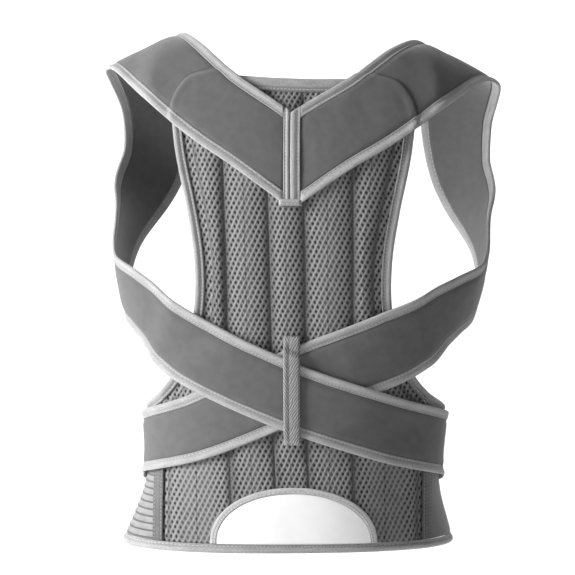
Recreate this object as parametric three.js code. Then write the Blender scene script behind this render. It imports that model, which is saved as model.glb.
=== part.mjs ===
// A posture corrector in its worn form, seen from behind.
// Millimetres. X is to the right, Y is forwards and Z is up, with the rim of the belt at Z = 0.
import * as THREE from "three";

// The form that the brace lies on
const torsoHeight = 480;
const chestHalfBreadth = 177;
const chestBackDepth = 118;
const chestFrontDepth = 124;
const shoulderRounding = 150;
const ridgeRise = 43;
const neckSoftness = 40;
const shoulderFall = 0.3;
const sectionPower = 2.4;

// Back panel
const seamReach = 124;
const panelPuff = 6.5;
const panelSeamDepth = 3.2;
const panelPuffPower = 0.7;
const panelHemWidth = 7;
const edgeBindingWidth = 9;
const edgeBindingThickness = 5.2;
const neckDip = 3;
const neckDipDepth = 45;

// Belt
const wingThickness = 3;
const wingBindingThickness = 3.6;
const rimBindingWidth = 7.6;
const rimBindingThickness = 5.6;
const wingOverlap = 45;
const seamTapeWidth = 9;
const seamTapeThickness = 1.2;
const ribPitch = 12.6;
const ribDepth = 0.9;
const overlapRamp = 40;

// Patch
const patchReach = 70.6;
const patchHeight = 46;
const patchThickness = 1.6;
const patchBindingWidth = 5.6;
const patchSeat = 3.4;
const patchSquareness = 2.1;
const patchFlatMargin = 18;

// Straps
const strapWidth = 72;
const strapThickness = 3;
const strapBindingWidth = 9.2;
const strapBindingThickness = 3.6;
const vSeamOffset = -1.4;
const vBindingWidthLeft = 5.8;
const vBindingWidthRight = 9.2;
const keeperWidth = 15.2;
const keeperThickness = 3;
const keeperTail = 11;
const keeperLobe = 0.4;
const keeperEdgeDrop = 1;

// Gaps between pieces side by side, and between layers
const sideGap = 0.3;
const layerGap = 0.6;
const blendStart = 16;
const blendEnd = 46;
const strapStep = 15;
const strapCells = 4;
const beltStep = 18;
const channelCells = 4;
const wingCells = 5;
const patchSteps = 16;
const patchCells = 4;
const patchFootTurn = 4;
const keeperStep = 5;
const keeperHug = 5;

// Levels of the form. Height is a share of torsoHeight, breadth of chestHalfBreadth,
// back of chestBackDepth and front of chestFrontDepth.
const BODY = [
  { height: 0, breadth: 0.885, back: 0.95, front: 0.9 },
  { height: 0.125, breadth: 0.785, back: 0.87, front: 0.88 },
  { height: 0.27, breadth: 0.797, back: 0.83, front: 0.88 },
  { height: 0.4, breadth: 0.89, back: 0.87, front: 0.93 },
  { height: 0.5, breadth: 0.975, back: 0.93, front: 0.98 },
  { height: 0.58, breadth: 1.01, back: 0.975, front: 1 },
  { height: 0.69, breadth: 1.04, back: 1, front: 0.98 },
  { height: 0.79, breadth: 1.25, back: 1, front: 0.92 },
  { height: 0.9, breadth: 1.75, back: 0.98, front: 0.86 },
  { height: 1, breadth: 2.2, back: 0.96, front: 0.84 },
];

// Worn stance. Turn about the spine in degrees, sway of the spine as a share of chestHalfBreadth,
// roll as the drop of the right side for each unit of breadth.
const STANCE = [
  { height: 0, turn: -3, sway: 0.017, roll: 0 },
  { height: 0.25, turn: 2, sway: 0.008, roll: 0 },
  { height: 0.55, turn: 4, sway: 0.008, roll: 0.02 },
  { height: 0.8, turn: 4.5, sway: 0.004, roll: 0.035 },
  { height: 1, turn: 4.5, sway: 0.004, roll: 0.038 },
];

// Side edge of the panel from the top corner to the seam of the wing.
// Across is a share of seamReach, height of torsoHeight.
const PANEL_EDGE = [
  { across: 0.6, height: 0.921 },
  { across: 0.79, height: 0.904 },
  { across: 0.9, height: 0.858 },
  { across: 0.89, height: 0.79 },
  { across: 0.79, height: 0.66 },
  { across: 0.735, height: 0.56 },
  { across: 0.745, height: 0.46 },
  { across: 0.83, height: 0.385 },
  { across: 0.91, height: 0.34 },
  { across: 1, height: 0.31 },
];

// Seams of the stay channels. Top and foot are shares of seamReach, at the two ends of the panel.
const STAYS = [
  { top: -0.53, foot: -0.45 },
  { top: -0.2, foot: -0.12 },
  { top: 0.08, foot: 0.12 },
  { top: 0.455, foot: 0.45 },
];

const channels = STAYS.length + 1;

// Half of the overlap of the wings at the front, as an angle in degrees.
const overlapTurn = THREE.MathUtils.radToDeg(wingOverlap / 2 / (chestFrontDepth * BODY[0].front));

// Top edge of a wing. Around is the angle from the spine in degrees.
const WING_EDGE = [
  { around: 78, height: 0.283 },
  { around: 95, height: 0.268 },
  { around: 120, height: 0.255 },
  { around: 150, height: 0.25 },
  { around: 180 + overlapTurn, height: 0.25 },
];

// Middle of a strap, from the spine over one shoulder, round the armpit, across the back and the other
// side of the waist to the front. Across is a share of chestHalfBreadth, forward of the chest depths,
// height of torsoHeight, width of strapWidth, and upright is 1 where the strap is cut upright.
// The right strap crosses the spine higher than the left one, which lies over it: rise is what it adds
// to the height, and grow its width as a share of the left one's.
const STRAP = [
  { across: 0.05, forward: -0.95, height: 0.767, width: 1.02, upright: 1, rise: 0, grow: 1 },
  { across: 0.2, forward: -0.93, height: 0.805, width: 1.01, upright: 0.2, rise: 0, grow: 1 },
  { across: 0.42, forward: -0.85, height: 0.857, width: 1.02, upright: 0, rise: 0, grow: 1 },
  { across: 0.635, forward: -0.6, height: 0.913, width: 1.07, upright: 0, rise: 0, grow: 1 },
  { across: 0.87, forward: 0, height: 0.968, width: 1.12, upright: 0, rise: 0, grow: 1 },
  { across: 0.84, forward: 0.6, height: 0.87, width: 1.06, upright: 0, rise: 0, grow: 1 },
  { across: 0.86, forward: 0.65, height: 0.76, width: 1, upright: 0, rise: 0, grow: 1 },
  { across: 0.95, forward: 0.35, height: 0.645, width: 0.95, upright: 0, rise: 0, grow: 1 },
  { across: 0.99, forward: -0.05, height: 0.522, width: 0.9, upright: 0, rise: 0.001, grow: 0.95 },
  { across: 0.88, forward: -0.5, height: 0.479, width: 0.89, upright: 0, rise: -0.001, grow: 0.98 },
  { across: 0.55, forward: -0.85, height: 0.39, width: 0.9, upright: 0, rise: 0.01, grow: 1.1 },
  { across: 0, forward: -0.9, height: 0.3, width: 0.9, upright: 0, rise: 0.021, grow: 1.05 },
  { across: -0.5, forward: -0.8, height: 0.238, width: 0.9, upright: 0, rise: 0.004, grow: 0.97 },
  { across: -0.83, forward: -0.1, height: 0.192, width: 0.88, upright: 0, rise: 0.004, grow: 0.93 },
  { across: -0.8, forward: 0.4, height: 0.172, width: 0.88, upright: 0, rise: 0, grow: 0.96 },
  { across: -0.62, forward: 0.75, height: 0.155, width: 0.88, upright: 0, rise: 0, grow: 0.98 },
  { across: -0.32, forward: 0.9, height: 0.145, width: 0.86, upright: 0, rise: 0, grow: 1 },
];
// The strap is sewn from two lengths that meet at this row of STRAP.
const joinRow = 8;
const joinSearchStep = 1e-3;

const shoulderStart = torsoHeight - shoulderRounding;
const ridgeAtSpine = torsoHeight + ridgeRise;
const up = new THREE.Vector3(0, 0, 1);

function clamp(value, low, high) {
  return Math.min(high, Math.max(low, value));
}

function smooth(low, high, value) {
  const t = clamp((value - low) / (high - low), 0, 1);
  return t * t * (3 - 2 * t);
}

// A smooth curve through one column of a table, read at a value of its key column.
function read(table, key, column, at) {
  const last = table.length - 1;
  let row = 0;
  while (row < last - 1 && at > table[row + 1][key]) row += 1;
  const slope = (k) => {
    const before = table[Math.max(k - 1, 0)];
    const after = table[Math.min(k + 1, last)];
    return (after[column] - before[column]) / (after[key] - before[key]);
  };
  const span = table[row + 1][key] - table[row][key];
  const t = clamp((at - table[row][key]) / span, 0, 1);
  const start = table[row][column] * (1 + 2 * t) * (1 - t) ** 2 + slope(row) * span * t * (1 - t) ** 2;
  const end = table[row + 1][column] * t ** 2 * (3 - 2 * t) - slope(row + 1) * span * t ** 2 * (1 - t);
  return start + end;
}

const halfBreadthAt = (z) => chestHalfBreadth * read(BODY, "height", "breadth", z / torsoHeight);
const backDepthAt = (z) => chestBackDepth * read(BODY, "height", "back", z / torsoHeight);
const frontDepthAt = (z) => chestFrontDepth * read(BODY, "height", "front", z / torsoHeight);

// How far up the rounding of the shoulder a point is: 0 below it and 1 on the ridge.
function shoulderRise(x, z) {
  const ridge = ridgeAtSpine - shoulderFall * Math.hypot(x, neckSoftness);
  return Math.max(0, z - shoulderStart) / (ridge - shoulderStart);
}

// Below 1 inside the form, 1 on its surface.
function fullness(p) {
  const depth = p.y < 0 ? backDepthAt(p.z) : frontDepthAt(p.z);
  const level = Math.abs(p.x / halfBreadthAt(p.z)) ** sectionPower + Math.abs(p.y / depth) ** sectionPower;
  return Math.sqrt(level + shoulderRise(p.x, p.z) ** 2);
}

function gradient(p) {
  const step = 1e-3 * torsoHeight;
  const along = (axis) => {
    const ahead = p.clone();
    const behind = p.clone();
    ahead[axis] += step;
    behind[axis] -= step;
    return (fullness(ahead) - fullness(behind)) / (2 * step);
  };
  return new THREE.Vector3(along("x"), along("y"), along("z"));
}

const site = (point) => ({ point, normal: gradient(point).normalize() });

// The nearest place on the form.
function seat(from) {
  const point = from.clone();
  for (let round = 0; round < 12; round += 1) {
    const slope = gradient(point);
    point.addScaledVector(slope, (1 - fullness(point)) / slope.lengthSq());
  }
  return site(point);
}

// The place on the back at a breadth and a height.
function onBack(x, z) {
  const rest = 1 - Math.abs(x / halfBreadthAt(z)) ** sectionPower - shoulderRise(x, z) ** 2;
  return site(new THREE.Vector3(x, -backDepthAt(z) * Math.max(rest, 0) ** (1 / sectionPower), z));
}

// The place on the waist at an angle from the spine, in degrees, and a height.
function onWaist(angle, z) {
  const turn = THREE.MathUtils.degToRad(angle);
  const depth = Math.cos(turn) > 0 ? backDepthAt(z) : frontDepthAt(z);
  const aside = Math.abs(Math.sin(turn) / halfBreadthAt(z));
  const level = aside ** sectionPower + Math.abs(Math.cos(turn) / depth) ** sectionPower;
  const radius = level ** (-1 / sectionPower);
  return site(new THREE.Vector3(radius * Math.sin(turn), -radius * Math.cos(turn), z));
}

function angleOf(point) {
  return THREE.MathUtils.radToDeg(Math.atan2(point.x, -point.y));
}

// Moves a point of the upright form into the worn stance.
function pose(p) {
  const share = p.z / torsoHeight;
  const turn = THREE.MathUtils.degToRad(read(STANCE, "height", "turn", share));
  const spine = -backDepthAt(p.z);
  const sway = chestHalfBreadth * read(STANCE, "height", "sway", share);
  const ahead = p.y - spine;
  return new THREE.Vector3(
    p.x * Math.cos(turn) + ahead * Math.sin(turn) + sway,
    spine + ahead * Math.cos(turn) - p.x * Math.sin(turn),
    p.z - p.x * read(STANCE, "height", "roll", share),
  );
}

// A closed solid between two heights over a grid of places on the form.
function shell(rows, low, high) {
  const across = rows[0].length;
  const corners = [];
  for (const height of [low, high])
    rows.forEach((row, i) =>
      row.forEach((place, j) => {
        const lift = typeof height === "function" ? height(place, i, j) : height;
        corners.push(pose(place.point.clone().addScaledVector(place.normal, lift)));
      }),
    );
  const at = (side, i, j) => (side * rows.length + i) * across + j;
  const faces = [];
  const quad = (a, b, c, d) => faces.push(a, b, c, a, c, d);
  for (let i = 0; i + 1 < rows.length; i += 1)
    for (let j = 0; j + 1 < across; j += 1) {
      quad(at(1, i, j), at(1, i + 1, j), at(1, i + 1, j + 1), at(1, i, j + 1));
      quad(at(0, i, j), at(0, i, j + 1), at(0, i + 1, j + 1), at(0, i + 1, j));
    }
  for (let i = 0; i + 1 < rows.length; i += 1) {
    quad(at(0, i, 0), at(0, i + 1, 0), at(1, i + 1, 0), at(1, i, 0));
    quad(at(0, i + 1, across - 1), at(0, i, across - 1), at(1, i, across - 1), at(1, i + 1, across - 1));
  }
  const last = rows.length - 1;
  for (let j = 0; j + 1 < across; j += 1) {
    quad(at(0, 0, j + 1), at(0, 0, j), at(1, 0, j), at(1, 0, j + 1));
    quad(at(0, last, j), at(0, last, j + 1), at(1, last, j + 1), at(1, last, j));
  }
  return facingOut(corners, faces);
}

function facingOut(corners, faces) {
  let volume = 0;
  for (let k = 0; k < faces.length; k += 3) {
    const [a, b, c] = [corners[faces[k]], corners[faces[k + 1]], corners[faces[k + 2]]];
    volume += a.dot(b.clone().cross(c));
  }
  const index = volume > 0 ? faces : faces.slice().reverse();
  const geometry = new THREE.BufferGeometry();
  geometry.setAttribute("position", new THREE.Float32BufferAttribute(corners.flatMap((p) => p.toArray()), 3));
  geometry.setIndex(index);
  geometry.computeVertexNormals();
  return geometry;
}

// Heights of the layers over the form
const panelEdgeAt = (z) => {
  const upright = PANEL_EDGE.slice(2).map((row) => ({ drop: -row.height, across: row.across }));
  const drop = clamp(-z / torsoHeight, upright[0].drop, upright.at(-1).drop);
  return seamReach * read(upright, "drop", "across", drop);
};
const panelTop = torsoHeight * PANEL_EDGE[0].height;
const wingTopAt = (angle) => {
  const around = clamp(Math.abs(angle), WING_EDGE[0].around, WING_EDGE.at(-1).around);
  return torsoHeight * read(WING_EDGE, "around", "height", around);
};
const near = (distance, start = blendStart, end = blendEnd) => 1 - smooth(start, end, distance);

const tapeSeat = Math.max(panelSeamDepth, wingThickness) + sideGap;
const panelStack = Math.max(panelPuff, edgeBindingThickness, tapeSeat + seamTapeThickness) + layerGap;
const wingStack = Math.max(wingThickness, wingBindingThickness) + layerGap;
const strapStack = Math.max(strapThickness, strapBindingThickness) + layerGap;
const frontMmPerDegree = THREE.MathUtils.degToRad(frontDepthAt(0));

function overPanel(p) {
  if (p.y > 0) return 0;
  const distance = Math.max(Math.abs(p.x) - panelEdgeAt(p.z), p.z - panelTop);
  return panelStack * near(distance);
}

// The left wing rises over the end of the right one at the front, by a share from 0 to 1.
function overlapRise(around) {
  const start = 180 - overlapTurn - blendStart / frontMmPerDegree;
  return smooth(start - overlapRamp / frontMmPerDegree, start, around);
}

function overWing(p) {
  const around = Math.abs(angleOf(p));
  const beside = (180 - overlapTurn - around) * frontMmPerDegree;
  const second = p.x < 0 ? overlapRise(around) : near(beside);
  return wingStack * (1 + second) * near(p.z - wingTopAt(around));
}

const overBelt = ({ point }) => Math.max(overPanel(point), overWing(point));

// Panel
// How far the panel is pressed flat under the patch, from 0 to 1.
function pressed(x, z) {
  const aside = Math.abs(x) - patchReach - patchBindingWidth;
  const above = z - rimBindingWidth - patchHeight - patchBindingWidth;
  return near(Math.max(aside, above), patchFlatMargin, 2 * patchFlatMargin);
}

// Stations along a smooth line through places on the form, with the direction across the piece.
function stations(points, columns, from, to, step) {
  const curve = new THREE.CatmullRomCurve3(points, false, "centripetal");
  const count = Math.max(2, Math.round(((to - from) * curve.getLength()) / step));
  const rows = [];
  for (let k = 0; k <= count; k += 1) {
    const share = from + ((to - from) * k) / count;
    const middle = seat(curve.getPointAt(share));
    const along = curve.getTangentAt(share);
    const square = new THREE.Vector3().crossVectors(middle.normal, along).normalize();
    const knot = curve.getUtoTmapping(share) * (points.length - 1);
    const lower = Math.min(Math.floor(knot), points.length - 2);
    const blend = (name) =>
      columns[lower][name] + (columns[lower + 1][name] - columns[lower][name]) * (knot - lower);
    const upright = up.clone().addScaledVector(middle.normal, -up.dot(middle.normal)).normalize();
    if (upright.dot(square) < 0) upright.negate();
    const across = square.clone().lerp(upright, blend("upright")).normalize();
    rows.push({ middle, across, stretch: 1 / across.dot(square), width: blend("width") });
  }
  return rows;
}

// Places across each station between two offsets from its middle, in millimetres.
function band(rows, from, to, cells) {
  return rows.map((row) => {
    const places = [];
    for (let j = 0; j <= cells; j += 1) {
      const offset = from(row) + ((to(row) - from(row)) * j) / cells;
      places.push(seat(row.middle.point.clone().addScaledVector(row.across, offset * row.stretch)));
    }
    return places;
  });
}

// Colours and finishes
const finish = (color, roughness) => new THREE.MeshStandardMaterial({ color, roughness, metalness: 0 });
const meshCloth = finish(0x8e8e90, 0.9);
const smoothCloth = finish(0x87868a, 0.85);
const tape = finish(0xb4b4b6, 0.8);
const webbing = finish(0xa2a2a4, 0.85);
const elastic = finish(0xd8d8da, 0.85);
const patchCloth = finish(0xf6f6f6, 0.7);

const brace = new THREE.Group();
function add(name, geometry, material) {
  const mesh = new THREE.Mesh(geometry, material);
  mesh.name = name;
  brace.add(mesh);
}

const SIDES = [
  { name: "left", sign: -1 },
  { name: "right", sign: 1 },
];
const mirrored = (rows, sign) =>
  rows.map((row) =>
    row.map(({ point, normal }) => ({
      point: point.clone().setX(sign * point.x),
      normal: normal.clone().setX(sign * normal.x),
    })),
  );

// Edges of the belt and the panel on the right, which the left ones mirror
const panelPoints = PANEL_EDGE.map(
  ({ across, height }) => onBack(seamReach * across, torsoHeight * height).point,
);
const wingPoints = WING_EDGE.map(({ around, height }) => onWaist(around, torsoHeight * height).point);
const edgePoints = [...panelPoints, ...wingPoints];
const edgeRows = edgePoints.map((point, k) => ({
  width: edgeBindingWidth,
  upright: k === 0 || k === panelPoints.length - 1 ? 1 : 0,
}));
const edgeCurve = new THREE.CatmullRomCurve3(edgePoints, false, "centripetal");

// Share of the edge's length at which it passes the seam of the wing.
function seamShare() {
  let low = 0;
  let high = 1;
  for (let round = 0; round < 40; round += 1) {
    const middle = (low + high) / 2;
    const p = edgeCurve.getPointAt(middle);
    if (p.x < seamReach && p.y < 0 && p.z > panelPoints.at(-1).z - 1) low = middle;
    else high = middle;
  }
  return low;
}
const seam = seamShare();
const gapShare = sideGap / 2 / edgeCurve.getLength();
const panelEdgeStations = stations(edgePoints, edgeRows, 0, seam - gapShare, beltStep);
const wingEdgeStations = stations(edgePoints, edgeRows, seam + gapShare, 1, beltStep);

const inside = edgeBindingWidth + sideGap;
const edgePlaces = (rows, from, to) => band(rows, () => from, () => to, 1);
const panelRim = rimBindingWidth + sideGap;

function panelRows() {
  const edge = edgePlaces(panelEdgeStations, -inside, 0).map((row) => row[0].point);
  const foot = edge.at(-1);
  const steps = Math.round((foot.z - panelRim) / beltStep);
  for (let k = 1; k <= steps; k += 1)
    edge.push(new THREE.Vector3(seamReach - sideGap / 2, 0, foot.z + ((panelRim - foot.z) * k) / steps));
  return edge.map((point) => {
    const x = Math.min(point.x, seamReach - sideGap / 2);
    const z = point.z;
    const rise = z / panelTop;
    const seams = STAYS.map(({ top, foot }) => seamReach * (foot + (top - foot) * rise));
    const ends = [-x, panelHemWidth - x, ...seams, x - panelHemWidth, x];
    const row = [];
    ends.forEach((end, k) => {
      const cells = k === 1 || k === ends.length - 1 ? 1 : channelCells;
      if (k === 0) row.push(end);
      else for (let j = 1; j <= cells; j += 1) row.push(ends[k - 1] + ((end - ends[k - 1]) * j) / cells);
    });
    const dip = neckDip * near(edge[0].z - z, 0, neckDipDepth);
    return row.map((across) => onBack(across, z - dip * (1 - (across / x) ** 2)));
  });
}

function panelHeight(place, i, j) {
  const inHem = j === 0 || j > channels * channelCells;
  const share = inHem ? 0 : ((j - 1) % channelCells) / channelCells;
  const puff = panelSeamDepth + (panelPuff - panelSeamDepth) * Math.sin(Math.PI * share) ** panelPuffPower;
  const flat = pressed(place.point.x, place.point.z);
  return puff * (1 - flat) + Math.min(puff, patchSeat) * flat;
}

add("back_panel", shell(panelRows(), 0, panelHeight), meshCloth);

function necklineRows() {
  const bottom = edgePlaces(panelEdgeStations.slice(0, 1), -inside, 0)[0][0].point.z + sideGap;
  const reach = seamReach * PANEL_EDGE[0].across - sideGap / 2;
  const steps = Math.round((2 * reach) / beltStep);
  const rows = [];
  for (let k = 0; k <= steps; k += 1) {
    const x = -reach + (2 * reach * k) / steps;
    const dip = neckDip * (1 - (x / reach) ** 2);
    rows.push([onBack(x, bottom - dip), onBack(x, panelTop - dip)]);
  }
  return rows;
}
add("neckline_binding", shell(necklineRows(), 0, edgeBindingThickness), tape);

const wrapped = (point, sign) => {
  const around = angleOf(point.clone().setX(sign * point.x));
  return around < -90 ? around + 360 : around;
};
// The left wing lies over the right one.
const wingLow = (sign) => (place) => (sign < 0 ? wingStack * overlapRise(wrapped(place.point, sign)) : 0);

// The angle of the wing's seam at a height.
const seamAngle = (z) => angleOf(onBack(seamReach + sideGap / 2, z).point);

function wingRows(cells) {
  const tops = edgePlaces(wingEdgeStations, -inside, 0).map((row) => row[0].point);
  const endAngle = wrapped(tops.at(-1), 1);
  tops[0].z -= sideGap + Math.abs(tops[0].x - seamReach);
  tops[0].x = seamReach;
  return tops.map((top) => {
    const start = seamAngle(top.z);
    const share = Math.max(0, wrapped(top, 1) - start) / (endAngle - start);
    const row = [];
    for (let j = 0; j <= cells; j += 1) {
      const z = panelRim + ((top.z - panelRim) * j) / cells;
      const from = seamAngle(z);
      row.push(onWaist(from + (endAngle - from) * share, z));
    }
    return row;
  });
}

for (const { name, sign } of SIDES) {
  const low = wingLow(sign);
  const above = (thickness) => (place) => low(place) + thickness;
  const edge = (rows) => mirrored(edgePlaces(rows, -edgeBindingWidth, 0), sign);
  add("panel_binding_" + name, shell(edge(panelEdgeStations), 0, edgeBindingThickness), tape);
  add("wing_binding_" + name, shell(edge(wingEdgeStations), low, above(wingBindingThickness)), tape);
  const ribs = 2 * Math.round((torsoHeight * WING_EDGE[1].height) / ribPitch);
  const ribbed = (place, i, j) => low(place) + wingThickness - ribDepth * (j % 2);
  if (sign < 0) add("belt_wing_left", shell(mirrored(wingRows(ribs), sign), low, ribbed), elastic);
  else add("belt_wing_right", shell(wingRows(wingCells), low, above(wingThickness)), smoothCloth);

  const tapeTop = edgePlaces(wingEdgeStations.slice(0, 1), -inside, 0)[0][0].point.z;
  const tapeRows = [];
  const steps = Math.round((tapeTop - panelRim) / beltStep);
  for (let k = 0; k <= steps; k += 1) {
    const slant = (share) => (tapeTop - panelRim) * share - seamTapeWidth / 2;
    const z = panelRim + Math.max(0, slant(k / steps));
    tapeRows.push([-1, 0, 1].map((share) => onBack(seamReach + (share * seamTapeWidth) / 2, z)));
  }
  add("wing_seam_" + name, shell(mirrored(tapeRows, sign), tapeSeat, tapeSeat + seamTapeThickness), tape);
}

// Bound rim, all the way round from the end of one wing to the end of the other
function rimRows() {
  const reach = 180 + overlapTurn;
  const steps = Math.round((2 * reach * frontMmPerDegree) / beltStep);
  const rows = [];
  for (let k = 0; k <= steps; k += 1) {
    const around = -reach + (2 * reach * k) / steps;
    rows.push([onWaist(around, 0), onWaist(around, rimBindingWidth)].map((place) => ({ ...place, around })));
  }
  return rows;
}
const rimLow = ({ around }) => (around < 0 ? wingStack * overlapRise(-around) : 0);
const rimHigh = (place) => {
  const onPanel = near(Math.abs(place.point.x) - seamReach, 0, blendStart) * (place.point.y < 0 ? 1 : 0);
  return rimLow(place) + wingBindingThickness + (rimBindingThickness - wingBindingThickness) * onPanel;
};
add("belt_rim_binding", shell(rimRows(), rimLow, rimHigh), tape);

// Arch patch. Turn runs from 0 at one foot to 180 at the other.
function arch(turn, grow) {
  const angle = THREE.MathUtils.degToRad(turn);
  const squared = (value) => Math.sign(value) * Math.abs(value) ** (2 / patchSquareness);
  return {
    x: (patchReach + grow) * squared(Math.cos(angle)),
    z: panelRim + (patchHeight + grow) * squared(Math.sin(angle)),
  };
}
function patchRows() {
  const rows = [];
  for (let k = 0; k <= patchSteps; k += 1) {
    const turn = patchFootTurn + ((180 - 2 * patchFootTurn) * k) / patchSteps;
    const { x, z } = arch(turn, 0);
    const row = [];
    for (let j = 0; j <= patchCells; j += 1) row.push(onBack(x, panelRim + ((z - panelRim) * j) / patchCells));
    rows.push(row);
  }
  return rows;
}
function patchBindingRows() {
  const rows = [];
  for (let k = 0; k <= 2 * patchSteps; k += 1) {
    const turn = (90 * k) / patchSteps;
    const edges = [sideGap, sideGap + patchBindingWidth].map((grow) => arch(turn, grow));
    rows.push(edges.map(({ x, z }) => onBack(x, z)));
  }
  return rows;
}
const patchLow = patchSeat + layerGap;
add("lumbar_patch", shell(patchRows(), patchLow, patchLow + patchThickness), patchCloth);
add("lumbar_patch_binding", shell(patchBindingRows(), patchLow, patchLow + patchThickness + sideGap), tape);

// Straps
const vInner = {
  left: sideGap / 2 - vSeamOffset,
  right: sideGap / 2 + vSeamOffset,
};
const vWidth = { left: vBindingWidthLeft, right: vBindingWidthRight };

function strapStations(name) {
  const isRight = name === "right";
  const points = STRAP.map((row, k) => {
    const x = k === 0 ? vInner[name] + vWidth[name] + sideGap : chestHalfBreadth * row.across;
    const y = (row.forward < 0 ? chestBackDepth : chestFrontDepth) * row.forward;
    const z = torsoHeight * (row.height + (isRight ? row.rise : 0));
    return k === 0 ? onBack(x, z).point : seat(new THREE.Vector3(x, y, z)).point;
  });
  const columns = STRAP.map((row) => ({
    width: strapWidth * row.width * (isRight ? row.grow : 1),
    upright: row.upright,
  }));
  const curve = new THREE.CatmullRomCurve3(points, false, "centripetal");
  let join = 0;
  while (curve.getUtoTmapping(join) * (points.length - 1) < joinRow) join += joinSearchStep;
  const half = sideGap / 2 / curve.getLength();
  return {
    shoulder: stations(points, columns, 0, join - half, strapStep),
    cross: stations(points, columns, join + half, 1, strapStep),
  };
}

const straps = { left: strapStations("left"), right: strapStations("right") };

// How far a point is outside the edge of a strap.
function outsideStrap(point, rows, sign) {
  const at = point.clone().setX(sign * point.x);
  let least = Infinity;
  for (let k = 0; k + 1 < rows.length; k += 1) {
    const line = new THREE.Line3(rows[k].middle.point, rows[k + 1].middle.point);
    const closest = line.closestPointToPoint(at, true, new THREE.Vector3());
    least = Math.min(least, closest.distanceTo(at) - rows[k].width / 2);
  }
  return least;
}
const overUnderStrap = (place) => strapStack * near(outsideStrap(place.point, straps.right.cross, 1));

for (const { name, sign } of SIDES) {
  const { shoulder, cross } = straps[name];
  const crossLow = sign < 0 ? (place) => overBelt(place) + overUnderStrap(place) : overBelt;
  const pieces = [
    { part: "shoulder_strap_" + name, rows: shoulder, low: overBelt, edges: ["outer", "inner"] },
    { part: "cross_strap_" + name, rows: cross, low: crossLow, edges: ["upper", "lower"] },
  ];
  for (const { part, rows, low, edges } of pieces) {
    const edge = (row) => row.width / 2;
    const hem = (row) => edge(row) - strapBindingWidth;
    const above = (thickness) => (place) => low(place) + thickness;
    const lay = (from, to, cells) => mirrored(band(rows, from, to, cells), sign);
    const body = lay((row) => sideGap - hem(row), (row) => hem(row) - sideGap, strapCells);
    add(part, shell(body, low, above(strapThickness)), smoothCloth);
    const first = lay((row) => -edge(row), (row) => -hem(row), 1);
    const second = lay(hem, edge, 1);
    add(part + "_" + edges[0] + "_binding", shell(first, low, above(strapBindingThickness)), tape);
    add(part + "_" + edges[1] + "_binding", shell(second, low, above(strapBindingThickness)), tape);
  }
}

// Upright bindings where the straps meet at the spine. Their tops are mitred to the straps' upper edges.
for (const { name, sign } of SIDES) {
  const cut = band(straps[name].shoulder.slice(0, 2), (row) => -row.width / 2, (row) => row.width / 2, 1);
  const [[lower, upper], [, next]] = cut.map((row) => row.map(({ point }) => point));
  const slope = (next.z - upper.z) / (next.x - upper.x);
  const steps = Math.round((upper.z - lower.z) / beltStep);
  const rows = [];
  for (let k = 0; k <= steps; k += 1)
    rows.push(
      [vInner[name], vInner[name] + vWidth[name]].map((x) => {
        const top = upper.z + slope * (x - upper.x);
        return onBack(sign * x, lower.z + ((top - lower.z) * k) / steps);
      }),
    );
  add("v_binding_" + name, shell(rows, overBelt, (place) => overBelt(place) + strapBindingThickness), tape);
}

// Keeper loop over the crossing
function keeperRows() {
  const spans = ["left", "right"].map((name) => {
    const sign = name === "left" ? -1 : 1;
    const inside = (z) => outsideStrap(onBack(0, z).point, straps[name].cross, sign) < 0;
    let low = torsoHeight * STRAP.find((row) => row.across === 0).height;
    let high = low;
    while (inside(low)) low -= 1;
    while (inside(high)) high += 1;
    return [low, high];
  });
  const low = Math.min(spans[0][0], spans[1][0]) - keeperTail;
  const high = Math.max(spans[0][1], spans[1][1]) + keeperTail;
  const steps = Math.round((high - low) / keeperStep);
  const rows = [];
  for (let k = 0; k <= steps; k += 1) {
    const z = low + ((high - low) * k) / steps;
    rows.push([-1, -keeperLobe, keeperLobe, 1].map((share) => onBack((share * keeperWidth) / 2, z)));
  }
  return rows;
}
function keeperLow(place) {
  const hug = (distance) => near(distance, keeperHug, 3 * keeperHug);
  const right = outsideStrap(place.point, straps.right.cross, 1);
  const left = outsideStrap(place.point, straps.left.cross, -1);
  return overBelt(place) + Math.max(strapStack * hug(right), (strapStack + overUnderStrap(place)) * hug(left));
}
const keeperSection = [-keeperEdgeDrop, 0, 0, -keeperEdgeDrop];
const keeperHigh = (place, i, j) => keeperLow(place) + keeperThickness + keeperSection[j];
add("keeper_loop", shell(keeperRows(), keeperLow, keeperHigh), webbing);

export default brace;
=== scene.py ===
# Looks of the posture corrector, laid on the same form as its solids.
# Millimetres in the tables and functions, metres in the meshes.
import math

import bmesh
import bpy
import numpy as np
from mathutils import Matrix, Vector


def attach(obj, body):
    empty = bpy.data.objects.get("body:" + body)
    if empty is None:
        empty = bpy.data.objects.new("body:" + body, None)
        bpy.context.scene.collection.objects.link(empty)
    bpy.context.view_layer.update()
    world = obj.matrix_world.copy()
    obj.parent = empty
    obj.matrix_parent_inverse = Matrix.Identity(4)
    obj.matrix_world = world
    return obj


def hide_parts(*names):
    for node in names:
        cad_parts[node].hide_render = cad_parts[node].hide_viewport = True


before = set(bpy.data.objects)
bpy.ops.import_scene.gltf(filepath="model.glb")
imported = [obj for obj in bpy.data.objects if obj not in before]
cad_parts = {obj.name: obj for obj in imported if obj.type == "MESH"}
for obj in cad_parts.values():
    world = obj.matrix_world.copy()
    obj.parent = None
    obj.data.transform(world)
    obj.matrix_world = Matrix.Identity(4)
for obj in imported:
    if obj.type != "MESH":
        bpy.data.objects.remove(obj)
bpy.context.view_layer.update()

# The form that the brace lies on
TORSO_HEIGHT = 480
CHEST_HALF_BREADTH = 177
CHEST_BACK_DEPTH = 118
CHEST_FRONT_DEPTH = 124
SHOULDER_START = 330
RIDGE_AT_SPINE = 523
NECK_SOFTNESS = 40
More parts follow.
